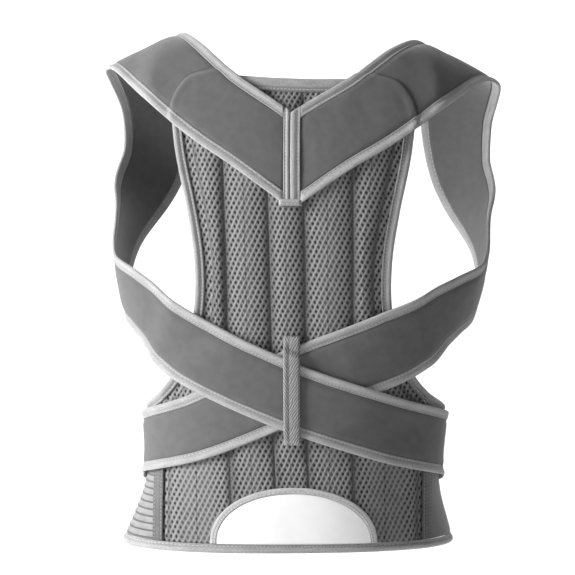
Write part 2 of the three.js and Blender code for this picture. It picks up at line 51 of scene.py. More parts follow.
SHOULDER_FALL = 0.3
SECTION_POWER = 2.4
SEAT_ROUNDS = 12

# The panel and its bindings
SEAM_REACH = 124
PANEL_PUFF = 6.5
PANEL_SEAM_DEPTH = 3.2
PANEL_HEM = 7
PANEL_STITCH_PULL = 1.5
PANEL_PUFF_POWER = 0.6
PANEL_PUFF_RAMP = 16
HEM_OFF_SEAM = 9.0
EDGE_BINDING_WIDTH = 9
EDGE_BINDING_THICKNESS = 5.2
NECK_DIP = 3
NECK_DIP_DEPTH = 45
NECKLINE_WIDTH = 12.3

# The wings, rim and seam tapes of the belt
WING_THICKNESS = 3
WING_EDGE_THICKNESS = 0.8
WING_MEAN_HEIGHT = 100
WING_BINDING_THICKNESS = 3.6
RIM_WIDTH = 7.6
RIM_THICKNESS = 5.6
WING_OVERLAP = 45
SEAM_TAPE_WIDTH = 9
SEAM_TAPE_THICKNESS = 1.2
SEAM_TAPE_STITCH = 1.6
RIB_PITCH = 6.3
RIB_DEPTH = 0.9
OVERLAP_RAMP = 40

# The patch
PATCH_REACH = 70.6
PATCH_HEIGHT = 46
PATCH_THICKNESS = 1.6
PATCH_BINDING_WIDTH = 5.6
PATCH_SEAT = 3.4
PATCH_SQUARENESS = 2.1
PATCH_FLAT_MARGIN = 18
PATCH_FOOT_TURN = 4
PATCH_EDGE_THICKNESS = 0.5
PATCH_STITCH = 1.7

# The straps, the V and the keeper
STRAP_WIDTH = 72
STRAP_THICKNESS = 3
STRAP_EDGE_THICKNESS = 0.9
STRAP_BINDING_WIDTH = 9.2
STRAP_BINDING_THICKNESS = 3.6
V_OFFSET = -1.4
V_WIDTH = {"left": 5.8, "right": 9.2}
V_FOOT = 1.5
V_SINK = 2
V_SINK_REACH = 26
V_TAB_LEFT = 11.5
V_TAB_RIGHT = 9.5
V_TAB_HEIGHT = 6.5
V_TAB_DROP = 3
V_TAB_ROOT = 35.0
V_TAB_SEAT = 0.4
V_TAB_EDGE_THICKNESS = 0.4
V_TAB_RAISE = 0.5
KEEPER_WIDTH = 15.2
KEEPER_THICKNESS = 3
KEEPER_TAIL = 11
KEEPER_HUG = 5
KEEPER_VALLEY = -2.6
KEEPER_ROLL = 0.9
# Heights between which the straps cross
KEEPER_SEARCH = (60, 260)

# A folded tape: its roll as shares of the width, its heights as shares of the thickness
TAPE_ROLL_START = 0.34
TAPE_ROLL_END = 0.6
TAPE_FLAT = 0.74
TAPE_MIDDLE = 0.46
TAPE_STITCH = 1.9
TAPE_GROOVE = 0.35

# Gaps between pieces, and how layers fade where they end
SIDE_GAP = 0.3
LAYER_GAP = 0.6
BLEND_START = 16
BLEND_END = 46
SIDE_FADE = 34

# How a strap drops off the edge of the panel: where it does, how far, and where the painted shade of its
# crease and the painted highlight of its ridge show
SINK_FORWARD = (-40, 10)
SINK_HEIGHTS = (290, 340)
SINK_STEP = (0.3, 3)
SINK_RETURN = (10, 30)
SINK_DROP = 1.5
SINK_CREASE = 0.9
SINK_RIDGE = 0.6
PAINTED_CREASE_HEIGHTS = (290, 320)
PAINTED_CREASE_OFF = 200

# The knit of the panel
MESH_PITCH = 5
MESH_ROW = 4.25
MESH_SHEAR = 0.125
MESH_HOLE_HALF_WIDTH = 1.1
MESH_HOLE_HALF_HEIGHT = 1.55

# Steps along the pieces, and cells across them
FINE = 2.0
COARSE = 15
ARCH_STEP = 1.6
TAB_STEP = 0.43
TAPE_CELLS = 14
TAPE_CROWD = 0.4
HEM_CELLS = 4
PAD_CELLS = 26
STRAP_CELLS = 30
KEEPER_CELLS = 28
PATCH_BINDING_CELLS = 12
SEAM_TAPE_CELLS = 10
RIBBED_ROWS = 121
PLAIN_ROWS = 61
SEAM_TAPE_ROWS = 61
NECKLINE_ROWS = 90
KEEPER_ROWS = 110
V_ROWS = 56
PATCH_TURNS = 121
PATCH_ROWS = 31
ARCH_TURNS = 181

# Columns: height, breadth, back, front
BODY = np.array([
    (0, 0.885, 0.95, 0.9),
    (0.125, 0.785, 0.87, 0.88),
    (0.27, 0.797, 0.83, 0.88),
    (0.4, 0.89, 0.87, 0.93),
    (0.5, 0.975, 0.93, 0.98),
    (0.58, 1.01, 0.975, 1),
    (0.69, 1.04, 1, 0.98),
    (0.79, 1.25, 1, 0.92),
    (0.9, 1.75, 0.98, 0.86),
    (1, 2.2, 0.96, 0.84),
])
# Columns: height, turn in degrees, sway, roll
STANCE = np.array([
    (0, -3, 0.017, 0),
    (0.25, 2, 0.008, 0),
    (0.55, 4, 0.008, 0.02),
    (0.8, 4.5, 0.004, 0.035),
    (1, 4.5, 0.004, 0.038),
])
# Columns: across, height
PANEL_EDGE = np.array([
    (0.6, 0.921),
    (0.79, 0.904),
    (0.9, 0.858),
    (0.89, 0.79),
    (0.79, 0.66),
    (0.735, 0.56),
    (0.745, 0.46),
    (0.83, 0.385),
    (0.91, 0.34),
    (1, 0.31),
])
# Columns: top, foot
STAYS = np.array([(-0.53, -0.45), (-0.2, -0.12), (0.08, 0.12), (0.455, 0.45)])
OVERLAP_TURN = math.degrees(WING_OVERLAP / 2 / (CHEST_FRONT_DEPTH * BODY[0, 3]))
# Columns: angle from the spine in degrees, height
WING_EDGE = np.array([(78, 0.283), (95, 0.268), (120, 0.255), (150, 0.25), (180 + OVERLAP_TURN, 0.25)])
# Columns: across, forward, height, width, upright, rise and grow of the right strap
STRAP = np.array([
    (0.05, -0.95, 0.767, 1.02, 1, 0, 1),
    (0.2, -0.93, 0.805, 1.01, 0.2, 0, 1),
    (0.42, -0.85, 0.857, 1.02, 0, 0, 1),
    (0.635, -0.6, 0.913, 1.07, 0, 0, 1),
    (0.87, 0, 0.968, 1.12, 0, 0, 1),
    (0.84, 0.6, 0.87, 1.06, 0, 0, 1),
    (0.86, 0.65, 0.76, 1, 0, 0, 1),
    (0.95, 0.35, 0.645, 0.95, 0, 0, 1),
    (0.99, -0.05, 0.522, 0.9, 0, 0.001, 0.95),
    (0.88, -0.5, 0.479, 0.89, 0, -0.001, 0.98),
    (0.55, -0.85, 0.39, 0.9, 0, 0.01, 1.1),
    (0, -0.9, 0.3, 0.9, 0, 0.021, 1.05),
    (-0.5, -0.8, 0.238, 0.9, 0, 0.004, 0.97),
    (-0.83, -0.1, 0.192, 0.88, 0, 0.004, 0.93),
    (-0.8, 0.4, 0.172, 0.88, 0, 0, 0.96),
    (-0.62, 0.75, 0.155, 0.88, 0, 0, 0.98),
    (-0.32, 0.9, 0.145, 0.86, 0, 0, 1),
])
JOIN_ROW = 8


def smooth(low, high, value):
    t = np.clip((value - low) / (high - low), 0, 1)
    return t * t * (3 - 2 * t)


def read(keys, values, at):
    """A smooth curve through a column of a table."""
    last = len(keys) - 1
    row = np.clip(np.searchsorted(keys, at, side="left") - 1, 0, last - 1)
    before, after = np.maximum(np.arange(last + 1) - 1, 0), np.minimum(np.arange(last + 1) + 1, last)
    slopes = (values[after] - values[before]) / (keys[after] - keys[before])
    span = keys[row + 1] - keys[row]
    t = np.clip((at - keys[row]) / span, 0, 1)
    start = values[row] * (1 + 2 * t) * (1 - t) ** 2 + slopes[row] * span * t * (1 - t) ** 2
    return start + values[row + 1] * t**2 * (3 - 2 * t) - slopes[row + 1] * span * t**2 * (1 - t)


def half_breadth(z):
    return CHEST_HALF_BREADTH * read(BODY[:, 0], BODY[:, 1], z / TORSO_HEIGHT)


def back_depth(z):
    return CHEST_BACK_DEPTH * read(BODY[:, 0], BODY[:, 2], z / TORSO_HEIGHT)


def front_depth(z):
    return CHEST_FRONT_DEPTH * read(BODY[:, 0], BODY[:, 3], z / TORSO_HEIGHT)


def shoulder_rise(x, z):
    ridge = RIDGE_AT_SPINE - SHOULDER_FALL * np.hypot(x, NECK_SOFTNESS)
    return np.maximum(0, z - SHOULDER_START) / (ridge - SHOULDER_START)


def section_level(x, y, z):
    depth = np.where(y < 0, back_depth(z), front_depth(z))
    return np.abs(x / half_breadth(z)) ** SECTION_POWER + np.abs(y / depth) ** SECTION_POWER


def fullness(p):
    """0 on the axis of the form, 1 on the form and more outside it."""
    x, y, z = p[..., 0], p[..., 1], p[..., 2]
    return np.sqrt(section_level(x, y, z) + shoulder_rise(x, z) ** 2)


def gradient(p):
    step = 1e-3 * TORSO_HEIGHT
    parts = [(fullness(p + step * e) - fullness(p - step * e)) / (2 * step) for e in np.eye(3)]
    return np.stack(parts, -1)


def unit(v):
    return v / np.linalg.norm(v, axis=-1, keepdims=True)


def seat(p):
    """Moves points to the nearest places on the form."""
    p = p.copy()
    for _ in range(SEAT_ROUNDS):
        slope = gradient(p)
        p += slope * ((1 - fullness(p)) / (slope**2).sum(-1))[..., None]
    return p


def on_back(x, z):
    rest = 1 - np.abs(x / half_breadth(z)) ** SECTION_POWER - shoulder_rise(x, z) ** 2
    return np.stack([x, -back_depth(z) * np.maximum(rest, 0) ** (1 / SECTION_POWER), z], -1)


def on_waist(angle, z):
    turn = np.radians(angle)
    radius = section_level(np.sin(turn), -np.cos(turn), z) ** (-1 / SECTION_POWER)
    return np.stack([radius * np.sin(turn), -radius * np.cos(turn), z + 0 * radius], -1)


def angle_of(p):
    return np.degrees(np.arctan2(p[..., 0], -p[..., 1]))


def pose(p):
    x, y, z = p[..., 0], p[..., 1], p[..., 2]
    share = z / TORSO_HEIGHT
    turn = np.radians(read(STANCE[:, 0], STANCE[:, 1], share))
    sway = CHEST_HALF_BREADTH * read(STANCE[:, 0], STANCE[:, 2], share)
    roll = read(STANCE[:, 0], STANCE[:, 3], share)
    spine = -back_depth(z)
    ahead = y - spine
    return np.stack([
        x * np.cos(turn) + ahead * np.sin(turn) + sway,
        spine + ahead * np.cos(turn) - x * np.sin(turn),
        z - x * roll,
    ], -1)


class Line:
    """A centripetal curve through points, read at shares of its length."""

    def __init__(self, points, samples=4000):
        self.count = len(points)
        knots = np.linspace(0, self.count - 1, samples)
        lower = np.minimum(knots.astype(int), self.count - 2)
        w = (knots - lower)[:, None]
        p1, p2 = points[lower], points[lower + 1]
        p0 = np.where((lower == 0)[:, None], 2 * p1 - p2, points[np.maximum(lower - 1, 0)])
        far = (lower + 2 >= self.count)[:, None]
        p3 = np.where(far, 2 * p2 - p1, points[np.minimum(lower + 2, self.count - 1)])
        d = [np.sqrt(np.linalg.norm(b - a, axis=1))[:, None] for a, b in ((p0, p1), (p1, p2), (p2, p3))]
        t1 = ((p1 - p0) / d[0] - (p2 - p0) / (d[0] + d[1]) + (p2 - p1) / d[1]) * d[1]
        t2 = ((p2 - p1) / d[1] - (p3 - p1) / (d[1] + d[2]) + (p3 - p2) / d[2]) * d[1]
        self.knots = knots
        self.points = p1 + t1 * w + (3 * (p2 - p1) - 2 * t1 - t2) * w**2 + (2 * (p1 - p2) + t1 + t2) * w**3
        steps = np.linalg.norm(np.diff(self.points, axis=0), axis=1)
        self.lengths = np.concatenate([[0], np.cumsum(steps)])
        self.length = self.lengths[-1]

    def at(self, share):
        s = np.clip(share, 0, 1) * self.length
        return np.stack([np.interp(s, self.lengths, self.points[:, k]) for k in range(3)], -1)

    def along(self, share):
        return unit(self.at(share + 1e-3) - self.at(share - 1e-3))

    def knot(self, share):
        return np.interp(share * self.length, self.lengths, self.knots)

    def share(self, knot):
        return np.interp(knot, self.knots, self.lengths) / self.length


def stations(line, widths, uprights, start, end, step):
    """Stations along a line: middle, direction across, stretch, width and distance run, in millimetres."""
    count = max(2, round((end - start) * line.length / step))
    share = np.linspace(start, end, count + 1)
    middle = seat(line.at(share))
    normal = unit(gradient(middle))
    square = unit(np.cross(normal, line.along(share)))
    knot = line.knot(share)
    rows = np.arange(line.count)
    blend = np.interp(knot, rows, uprights)
    z = np.array([0.0, 0, 1])
    upright = unit(z - normal * (normal @ z)[:, None])
    upright *= np.sign((upright * square).sum(-1, keepdims=True))
    across = unit(square + (upright - square) * blend[:, None])
    return {
        "middle": middle,
        "across": across,
        "stretch": 1 / (across * square).sum(-1),
        "width": np.interp(knot, rows, widths),
        "run": share * line.length,
    }


def offset(rows, amounts):
    """Places at amounts (stations by columns) across each station."""
    shift = (amounts * rows["stretch"][:, None])[..., None] * rows["across"][:, None, :]
    return seat(rows["middle"][:, None, :] + shift)


# Heights of the layers over the form
TAPE_SEAT = max(PANEL_SEAM_DEPTH, WING_THICKNESS) + SIDE_GAP
PANEL_STACK = max(PANEL_PUFF, EDGE_BINDING_THICKNESS, TAPE_SEAT + SEAM_TAPE_THICKNESS) + LAYER_GAP
WING_STACK = max(WING_THICKNESS, WING_BINDING_THICKNESS) + LAYER_GAP
STRAP_STACK = max(STRAP_THICKNESS, STRAP_BINDING_THICKNESS) + LAYER_GAP
PANEL_TOP = TORSO_HEIGHT * PANEL_EDGE[0, 1]
PANEL_RIM = RIM_WIDTH + SIDE_GAP
INSIDE = EDGE_BINDING_WIDTH + SIDE_GAP
FRONT_MM_PER_DEGREE = math.radians(float(front_depth(0.0)))


def near(distance, start=BLEND_START, end=BLEND_END):
    return 1 - smooth(start, end, distance)


def bell(distance, at, width):
    """1 at one distance, and next to nothing two widths from it."""
    return np.exp(-(((distance - at) / width) ** 2))


def panel_edge_at(z):
    keys = -PANEL_EDGE[2:, 1]
    return SEAM_REACH * read(keys, PANEL_EDGE[2:, 0], np.clip(-z / TORSO_HEIGHT, keys[0], keys[-1]))


def wing_top_at(around):
    keys = WING_EDGE[:, 0]
    return TORSO_HEIGHT * read(keys, WING_EDGE[:, 1], np.clip(np.abs(around), keys[0], keys[-1]))


def over_panel(p):
    aside = np.maximum(np.abs(p[..., 0]) - panel_edge_at(p[..., 2]), 0)
    above = np.maximum(p[..., 2] - PANEL_TOP, 0)
    return PANEL_STACK * near(np.hypot(aside, above)) * (1 - smooth(-SIDE_FADE, 0, p[..., 1]))


def overlap_rise(around):
    """1 where the left wing lies on the right one at the front."""
    start = 180 - OVERLAP_TURN - BLEND_START / FRONT_MM_PER_DEGREE
    return smooth(start - OVERLAP_RAMP / FRONT_MM_PER_DEGREE, start, around)


def over_wing(p):
    around = np.abs(angle_of(p))
    beside = (180 - OVERLAP_TURN - around) * FRONT_MM_PER_DEGREE
    second = np.where(p[..., 0] < 0, overlap_rise(around), near(beside))
    return WING_STACK * (1 + second) * near(p[..., 2] - wing_top_at(around))


def over_belt(p):
    """How high a piece lies over the form where it crosses the panel or a wing."""
    return np.maximum(over_panel(p), over_wing(p))


def pressed(x, z):
    """1 under the patch, where the panel lies flat, and 0 away from it."""
    aside = np.abs(x) - PATCH_REACH - PATCH_BINDING_WIDTH
    above = z - RIM_WIDTH - PATCH_HEIGHT - PATCH_BINDING_WIDTH
    return near(np.maximum(aside, above), PATCH_FLAT_MARGIN, 2 * PATCH_FLAT_MARGIN)


def outside_line(p, middles, widths, sign):
    """How far places are outside the edge of a strap."""
    flat = p.reshape(-1, 3) * np.array([sign, 1, 1])
    least = np.full(len(flat), np.inf)
    for a, b, width in zip(middles, middles[1:], widths):
        d = b - a
        t = np.clip((flat - a) @ d / (d @ d), 0, 1)[:, None]
        least = np.minimum(least, np.linalg.norm(flat - a - t * d, axis=1) - width / 2)
    return least.reshape(p.shape[:-1])


def outside_outline(p, outline):
    """Signed distance outside a closed outline in breadth and height."""
    q = np.stack([np.abs(p[..., 0]), p[..., 2]], -1).reshape(-1, 2)
    least = np.full(len(q), np.inf)
    within = np.zeros(len(q), bool)
    for a, b in zip(outline, np.roll(outline, -1, 0)):
        d = b - a
        t = np.clip((q - a) @ d / max(d @ d, 1e-9), 0, 1)[:, None]
        least = np.minimum(least, np.linalg.norm(q - a - t * d, axis=1))
        if a[1] != b[1]:
            crosses = (a[1] > q[:, 1]) != (b[1] > q[:, 1])
            within ^= crosses & (q[:, 0] < a[0] + (q[:, 1] - a[1]) * (b[0] - a[0]) / (b[1] - a[1]))
    return np.where(within, -least, least).reshape(p.shape[:-1])


def ripple(u, v, seed, size, count=6):
    """A soft unevenness of about -1 to 1, with waves about size millimetres long."""
    rng = np.random.default_rng(seed)
    total = 0
    for _ in range(count):
        turn, phase, scale = rng.uniform(0, math.tau, 2).tolist() + [rng.uniform(0.7, 1.6)]
        wave = math.tau / (size * scale)
        total = total + np.sin(wave * (u * math.cos(turn) + v * math.sin(turn)) + phase)
    return total / math.sqrt(2 * count)


# Meshes
def surface(name, places, low, high, across, seams=None):
    """A closed piece between two heights over a grid of places, with its flat measures as UV in metres."""
    normal = unit(gradient(places))
    rows, columns = places.shape[:2]
    low, high = (np.broadcast_to(h, places.shape[:2]) for h in (low, high))
    layers = [pose(places + normal * h[..., None]).reshape(-1, 3) / 1000 for h in (low, high)]
    index = np.arange(rows * columns).reshape(rows, columns)
    a, b, c, d = index[:-1, :-1], index[1:, :-1], index[1:, 1:], index[:-1, 1:]
    under = np.stack([a, d, c, b], -1).reshape(-1, 4)
    over = np.stack([a, b, c, d], -1).reshape(-1, 4) + index.size
    rim = np.concatenate([index[0, :-1], index[:-1, -1], index[-1, :0:-1], index[:0:-1, 0]])
    after = np.roll(rim, -1)
    side = np.stack([rim, after, after + index.size, rim + index.size], -1)
    faces = np.concatenate([under, over, side])
    me = bpy.data.meshes.new(name + "_cloth")
    me.from_pydata(np.concatenate(layers).tolist(), [], faces.tolist())
    bm = bmesh.new()
    bm.from_mesh(me)
    bmesh.ops.recalc_face_normals(bm, faces=bm.faces)
    bm.to_mesh(me)
    bm.free()
    me.shade_smooth()
    corners = np.empty(len(me.loops), np.int32)
    me.loops.foreach_get("vertex_index", corners)
    for layer, grid in (("UVMap", across), ("seam", seams)):
        if grid is not None:
            flat = np.stack([np.broadcast_to(g, places.shape[:2]) for g in grid], -1).reshape(-1, 2) / 1000
            uv = me.uv_layers.new(name=layer)
            uv.data.foreach_set("uv", np.concatenate([flat, flat])[corners].astype(np.float32).ravel())
    obj = bpy.data.objects.new(name + "_cloth", me)
    bpy.context.scene.collection.objects.link(obj)
    return obj


def mirror(p, sign):
    return p * np.array([sign, 1, 1])


def eased(start, end, cells, crowd=0.6):
    """Shares from start to end that crowd at both ends."""
    t = np.linspace(0, 1, cells + 1)
    return start + (end - start) * (t - crowd * np.sin(math.tau * t) / math.tau)


def rounded(distance, radius):
    """0 at an edge, 1 from a radius inwards, round between."""
    return np.sqrt(1 - (1 - np.clip(distance / radius, 0, 1)) ** 2)


def tape_columns(width):
    return eased(0, width, TAPE_CELLS, TAPE_CROWD)[None]


def ends(rows, step):
    """Distance of each row of a piece from its nearer end."""
    count = len(rows)
    k = np.arange(count)
    return np.minimum(k, count - 1 - k) * step


def binding_heights(low, across, width, thickness, end):
    """A folded tape, flat along its seam and rolled along its outer edge. Across runs outwards."""
    roll = smooth(TAPE_ROLL_START * width, TAPE_ROLL_END * width, across)
    lift = thickness * (TAPE_FLAT + (1 - TAPE_FLAT) * roll)
    groove = TAPE_GROOVE * bell(across, TAPE_STITCH, 0.7)
    bend = rounded(width - across, 0.5 * thickness) * rounded(across + 0.25, 0.9) * rounded(end + 0.2, 1.2)
    middle = TAPE_MIDDLE * thickness
    return low + middle * (1 - bend), low + middle + (lift - groove - middle) * bend


# Lines that the pieces follow
panel_points = on_back(SEAM_REACH * PANEL_EDGE[:, 0], TORSO_HEIGHT * PANEL_EDGE[:, 1])
wing_points = on_waist(WING_EDGE[:, 0], TORSO_HEIGHT * WING_EDGE[:, 1])
edge_line = Line(np.concatenate([panel_points, wing_points]))
edge_uprights = np.zeros(edge_line.count)
edge_uprights[[0, len(panel_points) - 1]] = 1
edge_widths = np.full(edge_line.count, float(EDGE_BINDING_WIDTH))
before_seam = (edge_line.points[:, 0] < SEAM_REACH) & (edge_line.points[:, 1] < 0)
above_seam = edge_line.points[:, 2] > panel_points[-1, 2] - 1
seam_share = edge_line.lengths[before_seam & above_seam].max() / edge_line.length
gap_share = SIDE_GAP / 2 / edge_line.length
panel_edge = stations(edge_line, edge_widths, edge_uprights, 0, seam_share - gap_share, FINE)
wing_edge = stations(edge_line, edge_widths, edge_uprights, seam_share + gap_share, 1, FINE)

seam_part = edge_line.points[: np.searchsorted(edge_line.lengths, seam_share * edge_line.length)][::20]
outline = np.concatenate([[[0, PANEL_TOP]], seam_part[:, [0, 2]], [[SEAM_REACH, 0], [0, 0]]])


def strap_line(name):
    """The stations of a strap by part, close and far apart, and its start beside the spine."""
    inner = SIDE_GAP / 2 + (V_OFFSET if name == "right" else -V_OFFSET)
    right = 1 if name == "right" else 0
    x = CHEST_HALF_BREADTH * STRAP[:, 0]
    x[0] = inner + V_WIDTH[name] + SIDE_GAP
    y = np.where(STRAP[:, 1] < 0, CHEST_BACK_DEPTH, CHEST_FRONT_DEPTH) * STRAP[:, 1]
    z = TORSO_HEIGHT * (STRAP[:, 2] + right * STRAP[:, 5])
    points = seat(np.stack([x, y, z], -1))
    points[0] = on_back(x[:1], z[:1])[0]
    line = Line(points)
    join = line.share(JOIN_ROW)
    half = SIDE_GAP / 2 / line.length
    widths = STRAP_WIDTH * STRAP[:, 3] * (STRAP[:, 6] if right else 1)
    parts = {"shoulder": (0, join - half), "cross": (join + half, 1)}
    rows = {"inner": inner, "fine": {}, "coarse": {}}
    for part, span in parts.items():
        rows["fine"][part] = stations(line, widths, STRAP[:, 4], *span, FINE)
        rows["coarse"][part] = stations(line, widths, STRAP[:, 4], *span, COARSE)
    return rows


straps = {name: strap_line(name) for name in ("left", "right")}
SIDES = {"left": -1, "right": 1}


def outside_strap(p, name):
    """How far places are outside the edge of a cross strap."""
    rows = straps[name]["coarse"]["cross"]
    return outside_line(p, rows["middle"], rows["width"], SIDES[name])


def over_under_strap(p):
    return STRAP_STACK * near(outside_strap(p, "right"))


def sink(p):
    """How far a strap drops where it leaves the panel below it."""
    d = outside_outline(p, outline)
    share = (1 - smooth(*SINK_FORWARD, p[..., 1])) * smooth(*SINK_HEIGHTS, p[..., 2])
    drop = SINK_DROP * smooth(*SINK_STEP, d) * (1 - smooth(*SINK_RETURN, d))
    crease = SINK_CREASE * bell(d, 1.8, 1.3)
    ridge = SINK_RIDGE * bell(d, -3, 3)
    return share * (drop + crease - ridge)


# Material building
class Shader:
    """Small helper that lays out the nodes of one material."""

    def __init__(self, name, roughness, sheen=0.0):
        self.material = bpy.data.materials.new(name)
        self.material.use_nodes = True
        self.tree = self.material.node_tree
        self.skin = self.tree.nodes["Principled BSDF"]
        self.skin.inputs["Roughness"].default_value = roughness
        self.skin.inputs["Specular IOR Level"].default_value = 0.25
        self.skin.inputs["Sheen Weight"].default_value = sheen
        self.skin.inputs["Sheen Roughness"].default_value = 0.45

    def link(self, value, socket):
        if isinstance(value, bpy.types.NodeSocket):
            self.tree.links.new(value, socket)
        else:
            socket.default_value = value

    def math(self, operation, *values):
        node = self.tree.nodes.new("ShaderNodeMath")
        node.operation = operation
        for value, socket in zip(values, node.inputs):
            self.link(value, socket)
        return node.outputs[0]

    def flat(self, layer):
        """The flat measures of a UV layer, in millimetres."""
        uv = self.tree.nodes.new("ShaderNodeUVMap")
        uv.uv_map = layer
        split = self.tree.nodes.new("ShaderNodeSeparateXYZ")
        self.tree.links.new(uv.outputs[0], split.inputs[0])
        return [self.math("MULTIPLY", split.outputs[k], 1000.0) for k in range(2)]

    def step(self, low, high, value):
        node = self.tree.nodes.new("ShaderNodeMapRange")
        node.interpolation_type = "SMOOTHSTEP"
        self.link(value, node.inputs["Value"])
        self.link(low, node.inputs["From Min"])
        self.link(high, node.inputs["From Max"])
        return node.outputs[0]

    def noise(self, u, v, size, detail=2.0, stretch=1.0):
        """Noise from about 0.3 to 0.7 over flat measures."""
        join = self.tree.nodes.new("ShaderNodeCombineXYZ")
        self.link(self.math("DIVIDE", u, size * stretch), join.inputs[0])
        self.link(self.math("DIVIDE", v, size), join.inputs[1])
        node = self.tree.nodes.new("ShaderNodeTexNoise")
        node.inputs["Scale"].default_value = 1.0
        node.inputs["Detail"].default_value = detail
        self.tree.links.new(join.outputs[0], node.inputs["Vector"])
        return node.outputs["Fac"]

    def wave(self, value, pitch):
        """0 to 1 and back over each pitch."""
        sine = self.math("SINE", self.math("MULTIPLY", value, math.tau / pitch))
        return self.math("MULTIPLY_ADD", sine, 0.5, 0.5)

    def blend(self, share, first, second):
        """A mix of two colours, whose sockets are 6, 7 and 2."""
        node = self.tree.nodes.new("ShaderNodeMix")
        node.data_type = "RGBA"
        self.link(share, node.inputs[0])
        self.link(first, node.inputs[6])
        self.link(second, node.inputs[7])
        return node.outputs[2]

    def mottled(self, value, dark, light):
        """A tone between two greys that follows a noise."""
        return self.blend(self.step(0.3, 0.7, value), gray(dark), gray(light))

    def tint(self, tone, mask, share, gray_value):
        """A tone that goes a share of the way to a grey where a mask is 1."""
        return self.blend(self.math("MULTIPLY", mask, share), tone, gray(gray_value))

    def stitches(self, u, v, at, pitch=3.4, share=0.62, half=0.42):
        """The mask of a row of stitches that runs along u at a place across."""
        line = self.step(half, 0.45 * half, self.math("ABSOLUTE", self.math("SUBTRACT", v, at)))
        dash = self.math("PINGPONG", self.math("DIVIDE", u, pitch), 0.5)
        return self.math("MULTIPLY", line, self.step(0.5 * share + 0.04, 0.5 * share - 0.04, dash))

    def finish(self, color, relief, depth):
        """Sets the colour, and a relief of a depth in millimetres."""
        self.link(color, self.skin.inputs["Base Color"])
        bump = self.tree.nodes.new("ShaderNodeBump")
        bump.inputs["Strength"].default_value = 1.0
        bump.inputs["Distance"].default_value = depth / 1000
        self.link(relief, bump.inputs["Height"])
        self.tree.links.new(bump.outputs[0], self.skin.inputs["Normal"])
        return self.material


def gray(srgb):
    """A grey from its 0 to 255 display value."""
    value = ((srgb / 255 + 0.055) / 1.055) ** 2.4
    return (value, value, value, 1)


def knit_cloth(name, shade, crease_shade_and_highlight=False):
    """Smooth brushed knit. When asked, it also gets painted shade in the crease just outside the edge of
    what it lies over, and a painted highlight on the ridge just inside that edge, which is at a seam
    distance of 0.
    """
    s = Shader(name, 0.82, 0.35)
    u, v = s.flat("UVMap")
    mottle = s.noise(u, v, 9, 3)
    tone = s.mottled(mottle, shade - 3, shade + 3)
    rows = s.wave(s.math("ADD", u, v), 1.5)
    wales = s.wave(s.math("SUBTRACT", u, v), 1.5)
    weave = s.math("MULTIPLY", rows, wales)
    tone = s.tint(tone, weave, 0.3, shade + 16)
    if crease_shade_and_highlight:
        away, _ = s.flat("seam")
        # Painted shade in the crease where the cloth drops off the edge below it.
        line = s.step(1.7, 0.3, s.math("ABSOLUTE", s.math("SUBTRACT", away, 1.4)))
        tone = s.tint(tone, line, 0.55, shade - 55)
        # Painted highlight on the ridge just inside that edge.
        edge = s.step(2.4, 0.4, s.math("ABSOLUTE", s.math("ADD", away, 1.6)))
        tone = s.tint(tone, edge, 0.3, shade + 30)
    fuzz = s.noise(u, v, 0.9, 2)
    relief = s.math("ADD", s.math("MULTIPLY", weave, 0.5), fuzz)
    return s.finish(tone, relief, 0.16)


def spacer_mesh(name, shade):
    """Knit of two families of strands, the rising one thicker, with a hole in each diamond."""
    s = Shader(name, 0.85, 0.2)
    u, v = s.flat("UVMap")
    across, run = s.flat("seam")
    wobble = s.noise(u, v, 14, 2)
    u = s.math("ADD", u, s.math("MULTIPLY_ADD", wobble, 2.0, -1.0))
    u = s.math("ADD", u, s.math("MULTIPLY", v, MESH_SHEAR))
    lean = s.math("MULTIPLY", v, 0.5 * MESH_PITCH / MESH_ROW)
    phases = [s.math("DIVIDE", s.math(sign, u, lean), MESH_PITCH) for sign in ("SUBTRACT", "ADD")]
    offs = [s.math("SUBTRACT", s.math("FRACT", phase), 0.5) for phase in phases]
    rising, falling = (s.step(0.16, 0.46, s.math("ABSOLUTE", off)) for off in offs)
    widths = 0.5 * MESH_PITCH / MESH_HOLE_HALF_WIDTH
    heights = MESH_ROW / MESH_HOLE_HALF_HEIGHT
    wide = s.math("POWER", s.math("MULTIPLY", s.math("ADD", *offs), widths), 2.0)
    tall = s.math("POWER", s.math("MULTIPLY", s.math("SUBTRACT", *offs), heights), 2.0)
    hole = s.step(1.15, 0.7, s.math("SQRT", s.math("ADD", wide, tall)))
    off_seam = s.math("ABSOLUTE", across)
    stitch_line = s.step(2.2, 1.3, off_seam)
    hole = s.math("MULTIPLY", hole, s.math("SUBTRACT", 1.0, stitch_line))
    taut = s.math("MULTIPLY_ADD", s.step(19, 10, off_seam), 0.55, 0.45)
    open_hole = s.math("MULTIPLY", hole, taut)
    mottle = s.noise(u, v, 22, 3)
    tone = s.mottled(mottle, shade - 30, shade - 16)
    tone = s.tint(tone, falling, 0.45, shade + 4)
    tone = s.tint(tone, rising, 0.85, shade + 16)
    tone = s.tint(tone, s.wave(v, 1.1), 0.2, shade - 40)
    tone = s.blend(open_hole, tone, gray(shade - 92))
    # Painted shade in the grooves along the seams of the panel.
    tone = s.tint(tone, s.step(8.5, 0.8, off_seam), 0.6, shade - 78)
    stitch = s.stitches(run, across, 0.0, 3.2, 0.66, 0.6)
    tone = s.tint(tone, stitch, 0.8, shade - 10)
    relief = s.math("MULTIPLY_ADD", rising, 0.6, s.math("MULTIPLY", falling, 0.3))
    relief = s.math("SUBTRACT", relief, open_hole)
    relief = s.math("ADD", relief, s.math("MULTIPLY", stitch, 0.5))
    return s.finish(tone, relief, 0.55)


